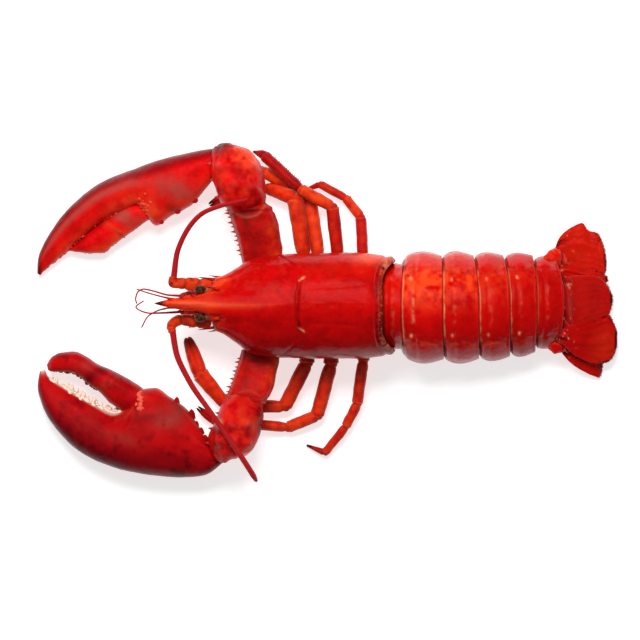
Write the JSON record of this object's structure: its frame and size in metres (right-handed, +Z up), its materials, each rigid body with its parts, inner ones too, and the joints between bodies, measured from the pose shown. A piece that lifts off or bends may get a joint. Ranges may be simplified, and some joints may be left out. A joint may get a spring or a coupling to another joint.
{
  "type": "cooked clawed lobster",
  "caption": "Whole boiled clawed lobster lying on its belly, red shell, claws folded forward, tail stretched out, feelers swept back.",
  "frame": {"origin": "the middle of the bounding box's bottom face, on the table that the lobster lies on", "axes": "+X along the body towards the tail fan, +Y towards the animal's right side, +Z up"},
  "size_m": [0.29, 0.1694, 0.0489],
  "materials": {
    "shell": "glossy boiled shell, orange-red with fine pores and pale rims",
    "claw_shell": "glossy deep crimson shell, darker at the outer edge",
    "leg_shell": "satin orange-red shell with dark tips",
    "underside": "satin pale orange shell and joint skin",
    "feeler": "satin brownish red, finely ringed",
    "eye": "very glossy black"
  },
  "bodies": {
    "root": {"carapace": "shell", "telson": "shell", "abdomen_1": "shell", "abdomen_2": "shell", "abdomen_3": "shell", "abdomen_4": "shell", "abdomen_5": "shell", "abdomen_6": "shell", "uropod_inner_right": "shell", "uropod_inner_left": "shell", "uropod_outer_right": "shell", "uropod_outer_left": "shell", "uropod_stalk_right": "shell", "uropod_stalk_left": "shell", "claw_wrist_right": "claw_shell", "claw_wrist_left": "claw_shell", "claw_palm_right": "claw_shell", "claw_palm_left": "claw_shell", "claw_finger_right": "claw_shell", "claw_finger_left": "claw_shell", "leg_1_right": "leg_shell", "leg_1_left": "leg_shell", "leg_2_right": "leg_shell", "leg_2_left": "leg_shell", "leg_3_right": "leg_shell", "leg_3_left": "leg_shell", "leg_4_right": "leg_shell", "leg_4_left": "leg_shell", "claw_arm_right": "leg_shell", "claw_arm_left": "leg_shell", "feeler_base_right": "leg_shell", "feeler_base_left": "leg_shell", "antennule_base_right": "leg_shell", "antennule_base_left": "leg_shell", "eye_stalk_right": "leg_shell", "eye_stalk_left": "leg_shell", "mouth_leg_right": "leg_shell", "mouth_leg_left": "leg_shell", "thorax": "underside", "head_front": "underside", "claw_root_right": "underside", "claw_root_left": "underside", "feeler_right": "feeler", "feeler_left": "feeler", "antennule_right_outer": "feeler", "antennule_right_inner": "feeler", "antennule_left_outer": "feeler", "antennule_left_inner": "feeler", "eye_right": "eye", "eye_left": "eye"}
  },
  "joints": []
}
